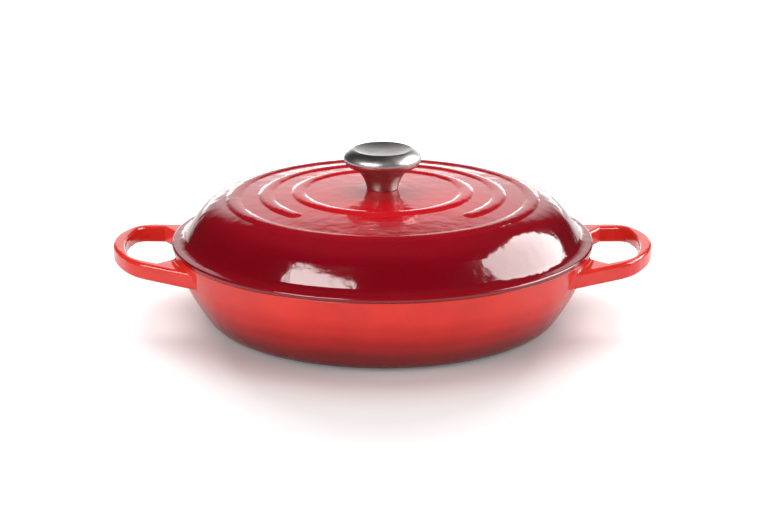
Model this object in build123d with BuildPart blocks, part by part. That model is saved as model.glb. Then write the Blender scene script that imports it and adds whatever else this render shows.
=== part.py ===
from build123d import *
import math
import os

# Bowl of the pan. All lengths are in millimetres; the pan stands on z = 0.
pan_height = 59.1  # floor to the flat rim that carries the lid
pan_wall = 3.6  # iron and enamel together
belly_inset = 24.7  # rim to the turn between the base corner and the side
belly_height = 7.5
base_corner_width = 15.0  # that turn to the edge of the flat base
base_recess_inset = 18.0  # the middle of the underside is set back, so the pan stands on a ring
base_recess_depth = 0.6

# Rim of the pan: thickened inwards, flat on top
rim_radius = 154.3
rim_width = 4.8
rim_depth = 2.6
rim_inner_rounding = 1.0
rim_edge_rounding = 0.6

# Loop handles, cast in one with the bowl. Places run back from the tip and out from the middle.
handle_projection = 43.7  # rim to the tip of the handle
handle_tip_drop = 4.5  # rim down to the middle of the bar at the tip
handle_slope = 6.3  # degrees that the loop rises towards its tip
handle_thickness = 12.2
handle_bar_width = 9.4
handle_corner_share = 0.436  # of the projection, from the tip back to the start of the straight legs
handle_corner_half_width = 51.6
handle_corner_rounding = 30.0
handle_leg_splay = 18.5  # degrees that the legs open towards the bowl
opening_bow_share = 0.4  # of the bow of the tip, which the opening's outer side keeps
opening_corner_rounding_share = 0.33  # of the projection, as are the next two
opening_wide_rounding_share = 0.21
opening_wide_share = 0.79  # from the tip back to the opening's widest place
opening_root_run = 11.5  # from the rim in to where the closing sides of the opening would end
opening_root_share = 0.4  # of the widest place, left between those ends
handle_edge_rounding = 2.5
handle_root_rounding = 2.2

# Dome of the lid, measured up from its seat on the pan's rim and in from the brim
lid_wall = 3.2
brim_overhang = 0.3  # how far the brim stands out past the pan's rim
brim_thickness = 3.2
brim_width = 8.4
brim_rise = 1.2  # how much higher the brim is at the foot of the dome
brim_edge_rounding = 1.5
brim_seat_rounding = 0.6
flank_width = 10.8  # foot of the dome to where the steep flank turns into the shoulder
flank_height = 20.6
shoulder_width = 22.0
crown_height = 40.2
crown_drop = 7.1  # fall of the nearly flat crown from its middle to its edge
dome_foot_cove = 7.0

# Three raised rings on the crown; the middle one is open at the front
ring_width = 10.8
ring_height = 1.5
ring_foot_rounding = 2.0
ring_root_depth = 0.6  # how deep a ring's section reaches into the crown
outer_ring_inset = 4.0  # edge of the crown to the middle of the outer ring
ring_spacing = 24.0
ring_gap_angle = 95.0  # degrees of the middle ring that are left out

# Lip under the lid that drops inside the pan's rim, and the pads on it that steady the lid
lip_width = 4.5
lip_depth = 3.5
lip_play = 1.3  # between the lip and the pan's rim, all round
lip_rounding = 0.9
pad_play = 0.5  # between a steadying pad and the pan's rim
pad_count = 4
pad_angle = 6.0  # degrees that one pad takes up on the lip

# Boss under the knob, the spot face for the washer and the hole through both
boss_radius = 13.0
boss_foot_radius = 21.0
boss_height = 0.4  # above the middle of the crown
spot_radius = 10.0
spot_height = 0.8  # below the underside of the crown
screw_hole_radius = 3.4

# Knob, measured up from its seat on the boss, as a line from the stem round the head to the dish
knob_height = 30.0
knob_stem_radius = 11.4
knob_neck_radius = 13.3
knob_neck_height = 6.7
knob_throat_radius = 18.9
knob_throat_height = 14.2
knob_edge_radius = 26.6
knob_edge_height = 18.8
knob_head_radius = 28.4
knob_head_height = 22.9
knob_shoulder_radius = 25.9
knob_shoulder_height = 27.1
knob_dish_radius = 21.0
knob_dish_depth = 2.6
knob_dish_rounding = 0.8
knob_base_rounding = 0.6
knob_recess_radius = 8.6
knob_recess_depth = 1.2
knob_bore_radius = 3.1
knob_bore_depth = 15.0

# Screw and washer that hold the knob from inside the lid
screw_radius = 3.0
screw_engagement = 10.0  # length of the shank inside the knob's bore
screw_head_radius = 6.0
screw_head_height = 3.6
screw_head_rounding = 1.6
screw_slot_width = 1.4
screw_slot_depth = 1.7
washer_radius = 8.5
washer_bore_radius = 3.3
washer_thickness = 1.2
washer_rounding = 0.3

# How far a cutter runs past what it cuts, and how far up the bowl's side the handles' cut starts
overrun = 2.0
loop_core_share = 0.4

# Heights and radii that follow from the sizes above
seat = pan_height
belly_radius = rim_radius - belly_inset
base_flat_radius = belly_radius - base_corner_width
rim_inner_radius = rim_radius - rim_width
handle_reach = rim_radius + handle_projection
handle_tip_height = pan_height - handle_tip_drop
lip_radius = rim_inner_radius - lip_play
brim_radius = rim_radius + brim_overhang
dome_foot_radius = brim_radius - brim_width
flank_radius = dome_foot_radius - flank_width
crown_edge_radius = flank_radius - shoulder_width
crown_curve = (crown_edge_radius**2 + crown_drop**2) / (2 * crown_drop)
crown_top = seat + crown_height
outer_ring_radius = crown_edge_radius - outer_ring_inset
middle_ring_radius = outer_ring_radius - ring_spacing
inner_ring_radius = middle_ring_radius - ring_spacing
ring_curve = (ring_width**2 / 4 + ring_height**2) / (2 * ring_height)
ring_root_half_width = math.sqrt(ring_curve**2 - (ring_curve - ring_height - ring_root_depth) ** 2)
knob_seat = crown_top + boss_height
knob_top = knob_seat + knob_height
spot_face = crown_top - lid_wall - spot_height
screw_head_top = spot_face - washer_thickness


def crown_at(radius, depth=0):
    """Height of the crown at a radius, or of the surface that lies some depth below it."""
    return crown_top - crown_curve + math.sqrt((crown_curve - depth) ** 2 - radius**2)


def corner(sketch, point):
    """The corner of a sketch that lies nearest a point of its plane."""
    return sketch.vertices().sort_by_distance(point)[0]


def ring_plane(radius):
    """A plane across a ring: its X runs down the crown, away from the middle, its Y out of it."""
    tilt = math.asin(radius / crown_curve)
    return Plane(
        origin=(radius, 0, crown_at(radius)),
        x_dir=(math.cos(tilt), 0, -math.sin(tilt)),
        z_dir=(0, -1, 0),
    )


# Outer line of the bowl: flat base, base corner and side, each arc starting along the last one
with BuildLine() as bowl_line:
    base_run = Line((0, 0), (base_flat_radius, 0))
    corner_arc = TangentArc(base_run @ 1, (belly_radius, belly_height), tangent=base_run % 1)
    side_arc = TangentArc(corner_arc @ 1, (rim_radius, pan_height), tangent=corner_arc % 1)

with BuildSketch() as rim_outline:
    rim_middle = (rim_inner_radius + rim_radius - pan_wall / 2) / 2
    with Locations((rim_middle, pan_height - rim_depth / 2)):
        Rectangle(2 * (rim_middle - rim_inner_radius), rim_depth)
    fillet(rim_outline.vertices().group_by(Axis.X)[0], rim_inner_rounding)

# Section through one side of the bowl, whose cavity keeps the wall's thickness all along
with BuildSketch(Plane.YZ) as bowl_section:
    with BuildLine():
        add(bowl_line.line)
        Polyline(side_arc @ 1, (0, pan_height), (0, 0))
    make_face()
    fillet(corner(bowl_section, (rim_radius, pan_height)), rim_edge_rounding)
    with BuildLine() as cavity_line:
        add(bowl_line.line)
        offset(amount=pan_wall, side=Side.LEFT, closed=False, mode=Mode.REPLACE)
        cavity_edge = cavity_line.vertices().sort_by(Axis.Y)[-1]
        cavity_top = pan_height + overrun
        Polyline(
            (cavity_edge.X, cavity_edge.Y),
            (cavity_edge.X, cavity_top),
            (0, cavity_top),
            (0, pan_wall),
        )
    make_face(mode=Mode.SUBTRACT)
    add(rim_outline.sketch)
    recess_radius = base_flat_radius - base_recess_inset
    with Locations((recess_radius / 2, base_recess_depth / 2)):
        Rectangle(recess_radius, base_recess_depth, mode=Mode.SUBTRACT)

# Loop handle: a flat bar bent into a loop, in a plane that rises towards the tip
slope = math.radians(handle_slope)
handle_plane = Plane(
    origin=(handle_reach, 0, handle_tip_height),
    x_dir=(math.cos(slope), 0, math.sin(slope)),
    z_dir=(-math.sin(slope), 0, math.cos(slope)),
)

splay = math.radians(handle_leg_splay)
corner_back = handle_corner_share * handle_projection


def leg_half_width(back):
    """How far from the middle the outer edge of a leg is, at a distance back from the tip."""
    return handle_corner_half_width + (back - corner_back) * math.tan(splay)


# The legs run on through the wall, until their outer edges are well inside the bowl
corner_reach = handle_reach - corner_back
run_to_middle = corner_reach * math.cos(splay) - handle_corner_half_width * math.sin(splay)
line_offset = corner_reach * math.sin(splay) + handle_corner_half_width * math.cos(splay)
leg_run = run_to_middle - math.sqrt(belly_radius**2 - line_offset**2)
leg_back = corner_back + leg_run * math.cos(splay)
with BuildSketch() as loop_shape:
    with BuildLine():
        tip_bow = ThreePointArc(
            (-corner_back, -handle_corner_half_width),
            (0, 0),
            (-corner_back, handle_corner_half_width),
        )
        Polyline(
            tip_bow @ 1,
            (-leg_back, leg_half_width(leg_back)),
            (-leg_back, -leg_half_width(leg_back)),
            tip_bow @ 0,
        )
    make_face()
    fillet(loop_shape.vertices().group_by(Axis.X)[-1], handle_corner_rounding)

# The opening follows that outline, then its sides close in as the legs widen into the wall
opening_corner_back = handle_bar_width + opening_bow_share * corner_back
opening_wide_back = opening_wide_share * handle_projection
opening_root_back = handle_projection + opening_root_run
bar_across = handle_bar_width / math.cos(splay)
opening_corner_width = leg_half_width(opening_corner_back) - bar_across
opening_wide_width = leg_half_width(opening_wide_back) - bar_across
opening_root_width = opening_root_share * opening_wide_width
with BuildSketch() as opening_shape:
    with BuildLine():
        opening_bow = ThreePointArc(
            (-opening_corner_back, -opening_corner_width),
            (-handle_bar_width, 0),
            (-opening_corner_back, opening_corner_width),
        )
        Polyline(
            opening_bow @ 1,
            (-opening_wide_back, opening_wide_width),
            (-opening_root_back, opening_root_width),
            (-opening_root_back, -opening_root_width),
            (-opening_wide_back, -opening_wide_width),
            opening_bow @ 0,
        )
    make_face()
    corners = opening_shape.vertices().group_by(Axis.X)
    fillet(corners[-1], opening_corner_rounding_share * handle_projection)
    fillet(corners[1], opening_wide_rounding_share * handle_projection)

with BuildSketch(handle_plane) as loop_outline:
    add(loop_shape.sketch)
    add(opening_shape.sketch, mode=Mode.SUBTRACT)

# The loop ends half-way through the wall, on a cone that follows the bowl's side
core_low = side_arc @ loop_core_share
core_high = side_arc @ 1
with BuildSketch(Plane.YZ) as loop_core:
    Polygon(
        (0, core_low.Y),
        (core_low.X - pan_wall / 2, core_low.Y),
        (core_high.X - pan_wall / 2, core_high.Y),
        (0, core_high.Y),
        align=None,
    )

with BuildPart() as loop:
    add(loop_outline.sketch)
    extrude(amount=handle_thickness / 2, both=True)
    across_bar = Axis(handle_plane.origin, handle_plane.z_dir)
    sides = loop.faces().sort_by(across_bar)
    fillet(sides[0].edges() + sides[-1].edges(), handle_edge_rounding)
    mirror(about=Plane.YZ)
    add(loop_core.sketch)
    revolve(axis=Axis.Z, mode=Mode.SUBTRACT)

# Pan: bowl and both handles in one casting
with BuildPart() as pan:
    add(bowl_section.sketch)
    revolve(axis=Axis.Z)
    add(loop.part)
    fillet(pan.edges(Select.NEW), handle_root_rounding)

# Outer line of the dome: crown, shoulder and flank, each arc starting along the last one
with BuildLine() as dome_line:
    crown_edge = (crown_edge_radius, crown_top - crown_drop)
    flank_top = (flank_radius, seat + flank_height)
    dome_foot = (dome_foot_radius, seat + brim_thickness + brim_rise)
    crown_arc = TangentArc((0, crown_top), crown_edge, tangent=(1, 0))
    shoulder_arc = TangentArc(crown_arc @ 1, flank_top, tangent=crown_arc % 1)
    flank_arc = TangentArc(shoulder_arc @ 1, dome_foot, tangent=shoulder_arc % 1)

with BuildSketch(Plane.XZ) as dome_outline:
    with BuildLine():
        add(dome_line.line)
        Polyline(
            flank_arc @ 1,
            (brim_radius, seat + brim_thickness),
            (brim_radius, seat),
            (0, seat),
            (0, crown_top),
        )
    make_face()
    fillet(corner(dome_outline, dome_foot), dome_foot_cove)
    fillet(corner(dome_outline, (brim_radius, seat + brim_thickness)), brim_edge_rounding)
    fillet(corner(dome_outline, (brim_radius, seat)), brim_seat_rounding)

with BuildSketch(Plane.XZ) as hollow_outline:
    with BuildLine() as hollow_line:
        add(dome_line.line)
        offset(amount=lid_wall, side=Side.RIGHT, closed=False, mode=Mode.REPLACE)
        hollow_edge = hollow_line.vertices().sort_by(Axis.Y)[0]
        Polyline(
            (hollow_edge.X, hollow_edge.Y),
            (hollow_edge.X, seat - overrun),
            (0, seat - overrun),
            (0, crown_top - lid_wall),
        )
    make_face()

with BuildSketch(Plane.XZ) as lip_outline:
    with Locations((lip_radius - lip_width / 2, seat - lip_depth / 2)):
        Rectangle(lip_width, lip_depth)
    fillet(lip_outline.vertices().group_by(Axis.Y)[0], lip_rounding)

# Steadying pad: a short stretch of the lip that stands out nearly to the pan's rim
pad_depth = lip_play - pad_play
pad_height = lip_depth - lip_rounding
with BuildSketch(Plane.XZ) as pad_outline:
    with Locations((lip_radius + pad_depth / 2 - lip_width / 4, seat - pad_height / 2)):
        Rectangle(pad_depth + lip_width / 2, pad_height)

with BuildPart() as pad:
    add(pad_outline.sketch)
    revolve(axis=Axis.Z, revolution_arc=pad_angle)

# Ring section: an arc whose foot reaches into the crown
with BuildSketch() as half_ring_outline:
    with BuildLine():
        ring_foot = (ring_root_half_width, -ring_root_depth)
        RadiusArc((0, ring_height), ring_foot, ring_curve)
        Polyline(ring_foot, (0, -ring_root_depth), (0, ring_height))
    make_face()

with BuildSketch() as ring_outline:
    add(half_ring_outline.sketch)
    mirror(about=Plane.YZ)

# The inner and outer rings run all the way round
with BuildPart() as closed_rings:
    for radius in (inner_ring_radius, outer_ring_radius):
        with BuildSketch(ring_plane(radius)):
            add(ring_outline.sketch)
        revolve(axis=Axis.Z)

# The middle ring stops short on both sides of the front, and each end is rounded in plan
with BuildPart() as ring_end:
    end_plane = ring_plane(middle_ring_radius)
    with BuildSketch(end_plane):
        add(half_ring_outline.sketch)
    revolve(axis=Axis(end_plane.origin, -end_plane.y_dir), revolution_arc=180)

ring_arc = 360 - ring_gap_angle
with BuildPart() as open_ring:
    with BuildSketch(ring_plane(middle_ring_radius)):
        add(ring_outline.sketch)
    revolve(axis=Axis.Z, revolution_arc=ring_arc)
    add(ring_end.part)
    add(mirror(ring_end.part, about=Plane.XZ, mode=Mode.PRIVATE), rotation=(0, 0, ring_arc))

# Boss under the knob: a low flat-topped cone whose foot blends into the crown
with BuildSketch(Plane.XZ) as boss_outline:
    with BuildLine():
        boss_root = crown_at(boss_foot_radius) - ring_root_depth
        Polyline(
            (0, knob_seat),
            (boss_radius, knob_seat),
            (boss_foot_radius, crown_at(boss_foot_radius)),
            (boss_foot_radius, boss_root),
            (0, boss_root),
            close=True,
        )
    make_face()

# Lid: dome, brim, rings, boss and lip in one casting
with BuildPart() as lid:
    add(dome_outline.sketch)
    revolve(axis=Axis.Z)
    add(closed_rings.part)
    fillet(lid.edges(Select.NEW), ring_foot_rounding)
    add(open_ring.part, rotation=(0, 0, ring_gap_angle / 2 - 90))
    fillet(lid.edges(Select.NEW), ring_foot_rounding)
    add(boss_outline.sketch)
    revolve(axis=Axis.Z)
    add(hollow_outline.sketch)
    revolve(axis=Axis.Z, mode=Mode.SUBTRACT)
    add(lip_outline.sketch)
    revolve(axis=Axis.Z)
    for step in range(pad_count):
        add(pad.part, rotation=(0, 0, 360 * (step + 0.5) / pad_count))
    with Locations((0, 0, spot_face)):
        spot_depth = spot_height + lid_wall / 2
        Cylinder(spot_radius, spot_depth, align=(Align.CENTER, Align.CENTER, Align.MIN))
    with Locations((0, 0, knob_seat)):
        Hole(screw_hole_radius)

# Knob: one turned piece with a dished top, a trumpet stem and a threaded bore from below
with BuildSketch(Plane.XZ) as knob_outline:
    with BuildLine():
        knob_side = Spline(
            (knob_stem_radius, knob_seat),
            (knob_neck_radius, knob_seat + knob_neck_height),
            (knob_throat_radius, knob_seat + knob_throat_height),
            (knob_edge_radius, knob_seat + knob_edge_height),
            (knob_head_radius, knob_seat + knob_head_height),
            (knob_shoulder_radius, knob_seat + knob_shoulder_height),
            (knob_dish_radius, knob_top),
        )
        dish_bottom = (0, knob_top - knob_dish_depth)
        dish = TangentArc(dish_bottom, knob_side @ 1, tangent=(1, 0))
        Polyline(dish_bottom, (0, knob_seat), knob_side @ 0)
    make_face()
    fillet(corner(knob_outline, knob_side @ 1), knob_dish_rounding)
    fillet(corner(knob_outline, knob_side @ 0), knob_base_rounding)

with BuildPart() as knob:
    add(knob_outline.sketch)
    revolve(axis=Axis.Z)
    with BuildSketch(Plane.XY.offset(knob_seat)):
        Circle(knob_recess_radius)
    extrude(amount=knob_recess_depth, mode=Mode.SUBTRACT)
    with BuildSketch(Plane.XY.offset(knob_seat)):
        Circle(knob_bore_radius)
    extrude(amount=knob_bore_depth, mode=Mode.SUBTRACT)

# Washer between the screw's head and the spot face
with BuildPart() as knob_washer:
    with BuildSketch(Plane.XY.offset(screw_head_top)):
        Circle(washer_radius)
        Circle(washer_bore_radius, mode=Mode.SUBTRACT)
    extrude(amount=washer_thickness)
    fillet(knob_washer.edges().group_by(Axis.Z)[0].sort_by(SortBy.RADIUS)[-1], washer_rounding)

# Screw: rounded head with a slot below, shank up through the lid into the knob
with BuildPart() as knob_screw:
    with BuildSketch(Plane.XY.offset(screw_head_top - screw_head_height)):
        Circle(screw_head_radius)
    extrude(amount=screw_head_height)
    fillet(knob_screw.edges().sort_by(Axis.Z)[0], screw_head_rounding)
    with BuildSketch(Plane.XY.offset(screw_head_top)):
        Circle(screw_radius)
    shank_top = knob_seat + knob_recess_depth + screw_engagement
    extrude(amount=shank_top - screw_head_top)
    with BuildSketch(Plane.XY.offset(screw_head_top - screw_head_height)):
        Rectangle(screw_head_radius * 2, screw_slot_width)
    extrude(amount=screw_slot_depth, mode=Mode.SUBTRACT)

os.makedirs("parts", exist_ok=True)
pieces = {
    "pan": pan,
    "lid": lid,
    "knob": knob,
    "knob_screw": knob_screw,
    "knob_washer": knob_washer,
}
for name, piece in pieces.items():
    piece.part.label = name
    export_step(piece.part, f"parts/{name}.step")
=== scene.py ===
import math

import bpy
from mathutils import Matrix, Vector

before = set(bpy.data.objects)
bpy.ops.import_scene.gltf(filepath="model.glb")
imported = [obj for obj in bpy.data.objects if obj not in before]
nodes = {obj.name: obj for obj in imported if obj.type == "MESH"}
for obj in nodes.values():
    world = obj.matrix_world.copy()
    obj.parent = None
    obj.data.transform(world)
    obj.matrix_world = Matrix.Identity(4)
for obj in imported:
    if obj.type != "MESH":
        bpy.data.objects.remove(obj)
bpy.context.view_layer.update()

# Camera of the photograph: its place, how far it looks down, and its focal length in photo pixels
camera_back = 2.1153
camera_height = 0.6688
camera_pitch = 16.337
camera_focal_pixels = 2989.66
photo_width_pixels = 765
sensor_width_mm = 36.0
level_view = 90.0  # degrees that a camera turns up from straight down to look level

# Heights and radii of the part that its finishes go by, in metres
millimetre = 0.001
seat_height = 59.1 * millimetre
rim_inner_radius = 149.5 * millimetre
seat_inner_radius = 148 * millimetre
bowl_radius = 154.5 * millimetre
pan_top = 60 * millimetre
lid_radius = 154 * millimetre

white = (1.0, 1.0, 1.0)

# Softboxes that only show as highlights in the enamel and the steel
softboxes = {
    "softbox_left": {"place": (-0.86, -0.98, 0.99), "size": (0.96, 0.60), "power": 25.0},
    "softbox_right": {"place": (1.45, 0.34, 0.93), "size": (1.66, 1.06), "power": 60.0},
}

# Lamps that light the object and the floor, but show in no enamel or steel
lamps = {
    "lamp_top": {"place": (0.0, 0.75, 2.1), "size": (2.6, 2.2), "power": 46.0},
    "lamp_left": {"place": (-1.5, -1.2, 1.0), "size": (1.4, 1.4), "power": 17.0},
    "lamp_right": {"place": (1.7, -0.7, 1.0), "size": (1.4, 1.4), "power": 17.0},
    "lamp_front": {"place": (0.0, -2.6, 0.6), "size": (2.0, 0.9), "power": 14.0},
}
lamp_colour = (1.0, 0.985, 0.975)

# Surroundings: a pale backdrop behind, brightest low down, and a dim room elsewhere
backdrop_glow_low = 7.0
backdrop_glow_high = 1.15
backdrop_fade_sine = 0.16
backdrop_fade_power = 2.0
backdrop_top_sine = (0.40, 0.50)
backdrop_behind_sine = (0.0, 0.05)
backdrop_side_slope = (0.22, 0.46)
least_behind = 0.01  # keeps the slope to the side finite where nothing is behind
room_glow = 0.02


class Nodes:
    """A node tree, with short calls for the nodes that are used here."""

    def __init__(self, tree):
        self.tree = tree

    def add(self, kind, **settings):
        node = self.tree.nodes.new(kind)
        for name, value in settings.items():
            setattr(node, name, value)
        return node

    def link(self, source, target):
        self.tree.links.new(source, target)

    def feed(self, socket, value):
        """Links a socket to another one, or sets it to a plain value or colour."""
        if isinstance(value, bpy.types.NodeSocket):
            self.link(value, socket)
        elif isinstance(value, tuple):
            socket.default_value = (*value, 1.0)
        else:
            socket.default_value = value

    def place(self):
        """Where a point of the object is, in the shared frame, in metres."""
        return self.add("ShaderNodeTexCoord").outputs["Object"]

    def axes(self, place):
        parts = self.add("ShaderNodeSeparateXYZ")
        self.link(place, parts.inputs[0])
        return parts.outputs

    def radius(self, place):
        """Distance from the vertical axis."""
        axes = self.axes(place)
        flat = self.add("ShaderNodeCombineXYZ")
        self.link(axes["X"], flat.inputs["X"])
        self.link(axes["Y"], flat.inputs["Y"])
        length = self.add("ShaderNodeVectorMath", operation="LENGTH")
        self.link(flat.outputs[0], length.inputs[0])
        return length.outputs["Value"]

    def calculate(self, operation, first, second=0.0):
        node = self.add("ShaderNodeMath", operation=operation)
        self.feed(node.inputs[0], first)
        self.feed(node.inputs[1], second)
        return node.outputs[0]

    def between(self, value, low, high, to_low=0.0, to_high=1.0):
        """Value from low to high, brought to another span and held inside it."""
        node = self.add("ShaderNodeMapRange", clamp=True)
        self.feed(node.inputs["Value"], value)
        node.inputs["From Min"].default_value = low
        node.inputs["From Max"].default_value = high
        node.inputs["To Min"].default_value = to_low
        node.inputs["To Max"].default_value = to_high
        return node.outputs["Result"]

    def noise(self, place, scale, detail):
        node = self.add("ShaderNodeTexNoise")
        self.link(place, node.inputs["Vector"])
        node.inputs["Scale"].default_value = scale
        node.inputs["Detail"].default_value = detail
        return node.outputs["Fac"]

    def ramp(self, value, stops, high):
        """A colour that runs through stops, given as (value, colour), as value goes from zero to high."""
        node = self.add("ShaderNodeValToRGB")
        node.color_ramp.interpolation = "EASE"
        self.link(self.between(value, 0.0, high), node.inputs["Fac"])
        elements = node.color_ramp.elements
        for at, colour in stops[1:-1]:
            elements.new(at / high)
        for element, (at, colour) in zip(elements, stops):
            element.position = at / high
            element.color = (*colour, 1.0)
        return node.outputs["Color"]

    def blend(self, share, first, second):
        """A mix of two colours, from the first at a share of 0 to the second at a share of 1."""
        node = self.add("ShaderNodeMix", data_type="RGBA")
        self.feed(node.inputs["Factor"], share)
        self.feed(node.inputs["A"], first)
        self.feed(node.inputs["B"], second)
        return node.outputs["Result"]

    def bump(self, height, distance, after=None):
        node = self.add("ShaderNodeBump")
        node.inputs["Strength"].default_value = 1.0
        node.inputs["Distance"].default_value = distance
        self.link(height, node.inputs["Height"])
        if after is not None:
            self.link(after, node.inputs["Normal"])
        return node.outputs["Normal"]


class Looks(Nodes):
    """A new material, its nodes and its shader."""

    def __init__(self, name):
        self.material = bpy.data.materials.new(name)
        self.material.use_nodes = True
        super().__init__(self.material.node_tree)
        self.shader = self.tree.nodes["Principled BSDF"]
        self.output = self.tree.nodes["Material Output"]

    def set(self, socket, value):
        """Feeds one of the shader's sockets."""
        self.feed(self.shader.inputs[socket], value)


# Vitreous enamel. A span is the range of a noise over which what it draws comes in.
enamel_ior = 1.52
cloud_scale = 28.0
cloud_detail = 3.0
cloud_span = (0.35, 0.7)
cloud_share = 0.16
cloud_colour = (0.10, 0.002, 0.004)
fleck_scale = 1900.0
fleck_detail = 1.0
fleck_span = (0.55, 0.8)
fleck_share = 0.12
fleck_colour = (0.75, 0.06, 0.04)
ripple_scale = 90.0
ripple_detail = 1.0
ripple_height = 0.35 * millimetre
peel_scale = 420.0
peel_detail = 2.0
peel_height = 0.04 * millimetre
smear_scale = 47.6
smear_detail = 4.0
smear_span = (0.3, 0.75)
smear_blur = 1.8  # times as rough where the gloss is smeared


def finish_enamel(looks, colour, place, roughness):
    """Glass fired on iron: cloudy colour, soft ripples and a fine orange peel under a hard gloss."""
    clouds = looks.between(looks.noise(place, cloud_scale, cloud_detail), *cloud_span, 0.0, cloud_share)
    flecks = looks.between(looks.noise(place, fleck_scale, fleck_detail), *fleck_span, 0.0, fleck_share)
    clouded = looks.blend(clouds, colour, cloud_colour)
    looks.set("Base Color", looks.blend(flecks, clouded, fleck_colour))
    ripples = looks.bump(looks.noise(place, ripple_scale, ripple_detail), ripple_height)
    peel = looks.noise(place, peel_scale, peel_detail)
    looks.set("Normal", looks.bump(peel, peel_height, after=ripples))
    smears = looks.noise(place, smear_scale, smear_detail)
    looks.set("Roughness", looks.between(smears, *smear_span, roughness, roughness * smear_blur))
    looks.set("IOR", enamel_ior)


# Lid outside: colours by distance from the axis, in metres. The darkening outward is partly the glaze's
# own fade from a bright middle to a dark rim and partly painted shade on the flank. The ramp turns a
# little lighter again at the brim's edge.
lid_gloss_roughness = 0.07
lid_glaze_and_shade_colours = [
    (0.020, (0.70, 0.006, 0.012)),
    (0.060, (0.66, 0.008, 0.016)),
    (0.100, (0.49, 0.008, 0.018)),
    (0.120, (0.31, 0.003, 0.012)),
    (0.140, (0.22, 0.001, 0.008)),
    (lid_radius, (0.28, 0.004, 0.012)),
]


def lid_enamel():
    """Bright red in the middle of the lid, deepening to crimson on its flank and brim: partly the glaze's
    own fade, partly painted shade on the flank.
    """
    looks = Looks("lid_enamel")
    place = looks.place()
    colour = looks.ramp(looks.radius(place), lid_glaze_and_shade_colours, lid_radius)
    finish_enamel(looks, colour, place, lid_gloss_roughness)
    return looks.material


# Pan outside: colours by height, in metres, whose edges wander a little. The darkening toward the base is
# partly the glaze's own fade and partly painted shade.
pan_gloss_roughness = 0.09
pan_glaze_and_shade_colours = [
    (0.000, (0.20, 0.005, 0.007)),
    (0.010, (0.28, 0.007, 0.009)),
    (0.022, (0.54, 0.014, 0.013)),
    (0.034, (0.78, 0.026, 0.020)),
    (0.046, (0.90, 0.038, 0.024)),
    (pan_top, (0.88, 0.038, 0.024)),
]
drift_scale = 9.0
drift_detail = 2.0
drift_span = (0.3, 0.7)
drift_height = 3 * millimetre


def pan_enamel():
    """Orange red at the rim and on the handles, darkening down the wall to dark red at the base: partly
    the glaze's own fade, partly painted shade toward the base.
    """
    looks = Looks("pan_enamel")
    place = looks.place()
    wander = looks.noise(place, drift_scale, drift_detail)
    drift = looks.between(wander, *drift_span, -drift_height, drift_height)
    height = looks.calculate("ADD", looks.axes(place)["Z"], drift)
    colour = looks.ramp(height, pan_glaze_and_shade_colours, pan_top)
    finish_enamel(looks, colour, place, pan_gloss_roughness)
    return looks.material


# Cooking surface: two sand colours and fine specks
sand_cloud_scale = 22.0
sand_cloud_detail = 3.0
sand_cloud_span = (0.3, 0.7)
sand_dark = (0.74, 0.64, 0.49)
sand_pale = (0.79, 0.70, 0.56)
speck_scale = 1500.0
speck_detail = 1.0
speck_span = (0.64, 0.72)
speck_share = 0.45
speck_colour = (0.36, 0.27, 0.18)
inside_ripple_detail = 2.0
inside_roughness = 0.16
inside_ior = 1.5


def inside_enamel():
    """Sand-coloured enamel of the cooking surface, with fine darker specks."""
    looks = Looks("inside_enamel")
    place = looks.place()
    clouds = looks.between(looks.noise(place, sand_cloud_scale, sand_cloud_detail), *sand_cloud_span)
    sand = looks.blend(clouds, sand_dark, sand_pale)
    specks = looks.between(looks.noise(place, speck_scale, speck_detail), *speck_span, 0.0, speck_share)
    looks.set("Base Color", looks.blend(specks, sand, speck_colour))
    looks.set("Normal", looks.bump(looks.noise(place, ripple_scale, inside_ripple_detail), ripple_height))
    looks.set("Roughness", inside_roughness)
    looks.set("IOR", inside_ior)
    return looks.material


# Ground coat of the two faces where lid and pan meet
coat_grain_scale = 1400.0
coat_grain_detail = 3.0
coat_colour_span = (0.35, 0.7)
coat_dark = (0.022, 0.018, 0.017)
coat_pale = (0.060, 0.048, 0.044)
coat_grain_height = 0.06 * millimetre
coat_blur_span = (0.3, 0.7)
coat_roughness = (0.42, 0.6)


def rim_enamel():
    """Thin matt ground coat on the two faces where lid and pan meet."""
    looks = Looks("rim_enamel")
    place = looks.place()
    grains = looks.noise(place, coat_grain_scale, coat_grain_detail)
    looks.set("Base Color", looks.blend(looks.between(grains, *coat_colour_span), coat_dark, coat_pale))
    looks.set("Normal", looks.bump(grains, coat_grain_height))
    looks.set("Roughness", looks.between(grains, *coat_blur_span, *coat_roughness))
    return looks.material


# Stainless steel: what the three pieces share, then what each has of its own
groove_detail = 3.0
groove_rise_share = 1.7  # how much a step up moves the grooves on, of what a step outward does
steel_grain_scale = 2600.0
steel_grain_detail = 2.0
steel_grain_share = 0.6
steel_grain_span = (0.35, 0.7)
steel_dark_share = 0.82
steel_smear_scale = 240.0
steel_smear_detail = 3.0
steel_smear_span = (0.3, 0.7)
steel_anisotropy = 0.2

steels = {
    "knob": {
        "name": "knob_steel",
        "tone": (0.52, 0.50, 0.49),
        "roughness": (0.30, 0.40),
        "groove_scale": 5200.0,
        "groove_height": 0.012 * millimetre,
    },
    "knob_screw": {
        "name": "screw_steel",
        "tone": (0.56, 0.55, 0.54),
        "roughness": (0.22, 0.34),
        "groove_scale": 3800.0,
        "groove_height": 0.02 * millimetre,
    },
    "knob_washer": {
        "name": "washer_steel",
        "tone": (0.52, 0.52, 0.51),
        "roughness": (0.30, 0.42),
        "groove_scale": 3000.0,
        "groove_height": 0.02 * millimetre,
    },
}


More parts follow.
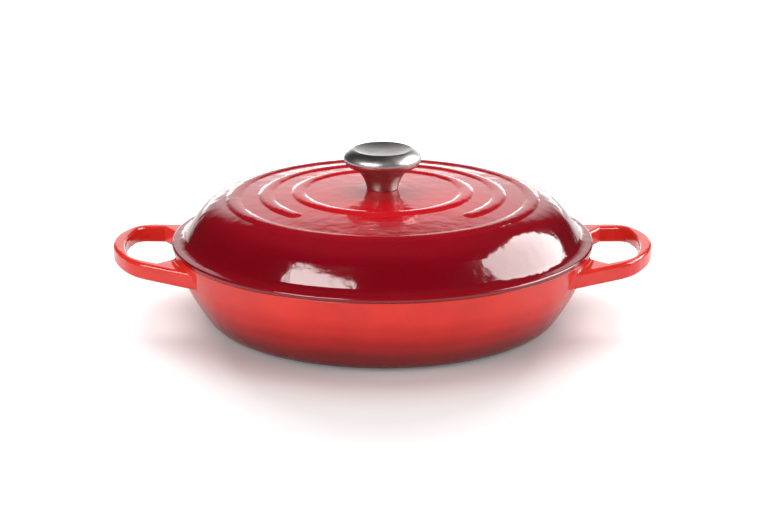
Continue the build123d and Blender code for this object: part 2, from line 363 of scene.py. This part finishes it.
def turned_steel(name, tone, roughness, groove_scale, groove_height):
    """Satin steel with fine rings left by turning and polishing round the vertical axis."""
    looks = Looks(name)
    place = looks.place()
    rise = looks.calculate("MULTIPLY", looks.axes(place)["Z"], groove_rise_share)
    rings = looks.add("ShaderNodeTexNoise", noise_dimensions="1D")
    looks.link(looks.calculate("ADD", looks.radius(place), rise), rings.inputs["W"])
    rings.inputs["Scale"].default_value = groove_scale
    rings.inputs["Detail"].default_value = groove_detail
    grains = looks.noise(place, steel_grain_scale, steel_grain_detail)
    fine = looks.calculate("MULTIPLY", grains, steel_grain_share)
    relief = looks.calculate("ADD", rings.outputs["Fac"], fine)
    dark_tone = tuple(steel_dark_share * part for part in tone)
    looks.set("Base Color", looks.blend(looks.between(grains, *steel_grain_span), dark_tone, tone))
    looks.set("Normal", looks.bump(relief, groove_height))
    smears = looks.noise(place, steel_smear_scale, steel_smear_detail)
    looks.set("Roughness", looks.between(smears, *steel_smear_span, *roughness))
    looks.set("Metallic", 1.0)
    looks.set("Anisotropic", steel_anisotropy)
    tangent = looks.add("ShaderNodeTangent", direction_type="RADIAL", axis="Z")
    looks.set("Tangent", tangent.outputs[0])
    return looks.material


# Which finish each face of the castings has. Up, down and inward are parts of its normal.
flat_up = 0.9
pan_seat_margin = 0.2 * millimetre
pan_wall_inward = 0.3
pan_floor_up = 0.5
pan_floor_inset = 12 * millimetre
pan_turn_inward = 0.05
pan_turn_up = 0.05
lid_seat_margin = 1 * millimetre
lid_hollow_down = 0.15
lid_lip_margin = 0.05 * millimetre
lid_lip_inward = 0.6


def face_spots(mesh):
    """Each face with its distance from the axis, its height and how far it faces up and inward."""
    for face in mesh.polygons:
        centre = face.center
        radius = math.hypot(centre.x, centre.y)
        across = face.normal.x * centre.x + face.normal.y * centre.y
        yield face, radius, centre.z, face.normal.z, -across / max(radius, millimetre)


def dress(node, finishes, choose):
    """Gives a CAD node its finishes, and each face the one that choose names."""
    node.data.materials.clear()
    order = list(finishes)
    for name in order:
        node.data.materials.append(finishes[name])
    for face, radius, height, up, inward in face_spots(node.data):
        face.material_index = order.index(choose(radius, height, up, inward))


def pan_face(radius, height, up, inward):
    if up > flat_up and height > seat_height - pan_seat_margin and radius < bowl_radius:
        return "rim"
    wall = radius < rim_inner_radius + pan_seat_margin and inward > pan_wall_inward
    floor = up > pan_floor_up and radius < rim_inner_radius - pan_floor_inset
    turn = inward > pan_turn_inward and up > pan_turn_up and radius < rim_inner_radius
    if wall or floor or turn:
        return "inside"
    return "outside"


def lid_face(radius, height, up, inward):
    if up < -flat_up and radius > seat_inner_radius and height < seat_height + lid_seat_margin:
        return "rim"
    hollow = up < -lid_hollow_down and radius < seat_inner_radius
    lip = height < seat_height - lid_lip_margin or inward > lid_lip_inward
    if hollow or lip:
        return "inside"
    return "outside"


sand_enamel = inside_enamel()
ground_coat = rim_enamel()
dress(nodes["pan"], {"outside": pan_enamel(), "inside": sand_enamel, "rim": ground_coat}, pan_face)
dress(nodes["lid"], {"outside": lid_enamel(), "inside": sand_enamel, "rim": ground_coat}, lid_face)
for node_name, steel in steels.items():
    nodes[node_name].data.materials.clear()
    nodes[node_name].data.materials.append(turned_steel(**steel))


# Floor, which is white to the camera away from the object. Near the object it shows the lamps' shadow and
# a soft painted shadow as well.
floor_size = 30.0
# Near the object, a darker paper tone and a weaker glow paint a soft shadow, in an oval that is narrower
# sideways and shifted to the front.
floor_tone_painted_shadow = (0.76, 0.745, 0.745)
floor_tone_far = (0.90, 0.89, 0.89)
floor_lift_painted_shadow = 0.10
floor_lift_far = 1.0
painted_shadow_radii = (0.20, 0.50)
painted_shadow_side_share = 0.56  # how far the soft patch reaches sideways, of how far it reaches in front
painted_shadow_front_shift = 0.03
mirrored_lift_share = 0.35


def seen_directly(looks):
    """1 for rays that come from the camera, and a share of it for those that a mirror or glass sends."""
    rays = looks.add("ShaderNodeLightPath").outputs
    mirrored = looks.calculate("MAXIMUM", rays["Is Glossy Ray"], rays["Is Transmission Ray"])
    dimmed = looks.calculate("MULTIPLY", mirrored, mirrored_lift_share)
    return looks.calculate("MAXIMUM", rays["Is Camera Ray"], dimmed)


def floor_paper():
    """Matt paper with a glow for camera and mirrors only, which grows away from the object. The darker
    paper and weaker glow near the object are painted shadow.
    """
    looks = Looks("floor_paper")
    looks.tree.nodes.remove(looks.shader)
    # The oval around the object over which the painted shadow fades out
    painted_shadow_oval = looks.add("ShaderNodeMapping")
    looks.link(looks.place(), painted_shadow_oval.inputs["Vector"])
    painted_shadow_oval.inputs["Location"].default_value = (0.0, painted_shadow_front_shift, 0.0)
    painted_shadow_oval.inputs["Scale"].default_value = (1 / painted_shadow_side_share, 1.0, 1.0)
    farness = looks.radius(painted_shadow_oval.outputs[0])
    paper = looks.add("ShaderNodeBsdfDiffuse")
    tone = looks.blend(looks.between(farness, *painted_shadow_radii), floor_tone_painted_shadow, floor_tone_far)
    looks.link(tone, paper.inputs["Color"])
    glow = looks.add("ShaderNodeEmission")
    lift = looks.between(farness, *painted_shadow_radii, floor_lift_painted_shadow, floor_lift_far)
    looks.link(looks.calculate("MULTIPLY", seen_directly(looks), lift), glow.inputs["Strength"])
    both = looks.add("ShaderNodeAddShader")
    looks.link(paper.outputs[0], both.inputs[0])
    looks.link(glow.outputs[0], both.inputs[1])
    looks.link(both.outputs[0], looks.output.inputs["Surface"])
    return looks.material


def make_floor():
    half = floor_size / 2
    mesh = bpy.data.meshes.new("floor")
    corners = [(-half, -half, 0.0), (half, -half, 0.0), (half, half, 0.0), (-half, half, 0.0)]
    mesh.from_pydata(corners, [], [range(len(corners))])
    mesh.materials.append(floor_paper())
    floor = bpy.data.objects.new("floor", mesh)
    bpy.context.scene.collection.objects.link(floor)


make_floor()


def make_world():
    """White to the camera. All other rays meet a pale backdrop behind, and a dim room elsewhere."""
    world = bpy.data.worlds.new("studio")
    bpy.context.scene.world = world
    world.use_nodes = True
    looks = Nodes(world.node_tree)
    axes = looks.axes(looks.add("ShaderNodeTexCoord").outputs["Generated"])
    low_enough = looks.between(axes["Z"], *backdrop_top_sine, 1.0, 0.0)
    nearness_to_floor = looks.between(axes["Z"], 0.0, backdrop_fade_sine, 1.0, 0.0)
    lowness = looks.calculate("POWER", nearness_to_floor, backdrop_fade_power)
    fading = looks.between(lowness, 0.0, 1.0, backdrop_glow_high, backdrop_glow_low)
    behind = looks.between(axes["Y"], *backdrop_behind_sine)
    sideways = looks.calculate("ABSOLUTE", axes["X"])
    aside = looks.calculate("DIVIDE", sideways, looks.calculate("MAXIMUM", axes["Y"], least_behind))
    near_middle = looks.between(aside, *backdrop_side_slope, 1.0, 0.0)
    shown = looks.calculate("MULTIPLY", looks.calculate("MULTIPLY", low_enough, behind), near_middle)
    glow = looks.calculate("ADD", looks.calculate("MULTIPLY", shown, fading), room_glow)
    strength = looks.add("ShaderNodeMix", data_type="FLOAT")
    looks.link(looks.add("ShaderNodeLightPath").outputs["Is Camera Ray"], strength.inputs["Factor"])
    looks.link(glow, strength.inputs["A"])
    strength.inputs["B"].default_value = 1.0
    background = looks.tree.nodes["Background"]
    looks.link(strength.outputs["Result"], background.inputs["Strength"])
    looks.feed(background.inputs["Color"], white)


make_world()


def add_light(name, place, size, power, shows):
    """An area light that faces the lid: either one that only shows in gloss, or one that never does."""
    light = bpy.data.lights.new(name, "AREA")
    light.shape = "RECTANGLE"
    light.size, light.size_y = size
    light.energy = power
    light.color = lamp_colour
    lamp = bpy.data.objects.new(name, light)
    bpy.context.scene.collection.objects.link(lamp)
    lamp.location = place
    towards = Vector((0.0, 0.0, seat_height)) - Vector(place)
    lamp.rotation_euler = towards.to_track_quat("-Z", "Y").to_euler()
    lamp.visible_glossy = shows
    lamp.visible_diffuse = not shows


for light_name, light in softboxes.items():
    add_light(light_name, **light, shows=True)
for light_name, light in lamps.items():
    add_light(light_name, **light, shows=False)


# Camera
camera_data = bpy.data.cameras.new("camera")
camera_data.sensor_width = sensor_width_mm
camera_data.lens = sensor_width_mm * camera_focal_pixels / photo_width_pixels
camera = bpy.data.objects.new("camera", camera_data)
bpy.context.scene.collection.objects.link(camera)
camera.location = (0.0, -camera_back, camera_height)
camera.rotation_euler = (math.radians(level_view - camera_pitch), 0.0, 0.0)
bpy.context.scene.camera = camera

bpy.context.scene.view_settings.view_transform = "Standard"
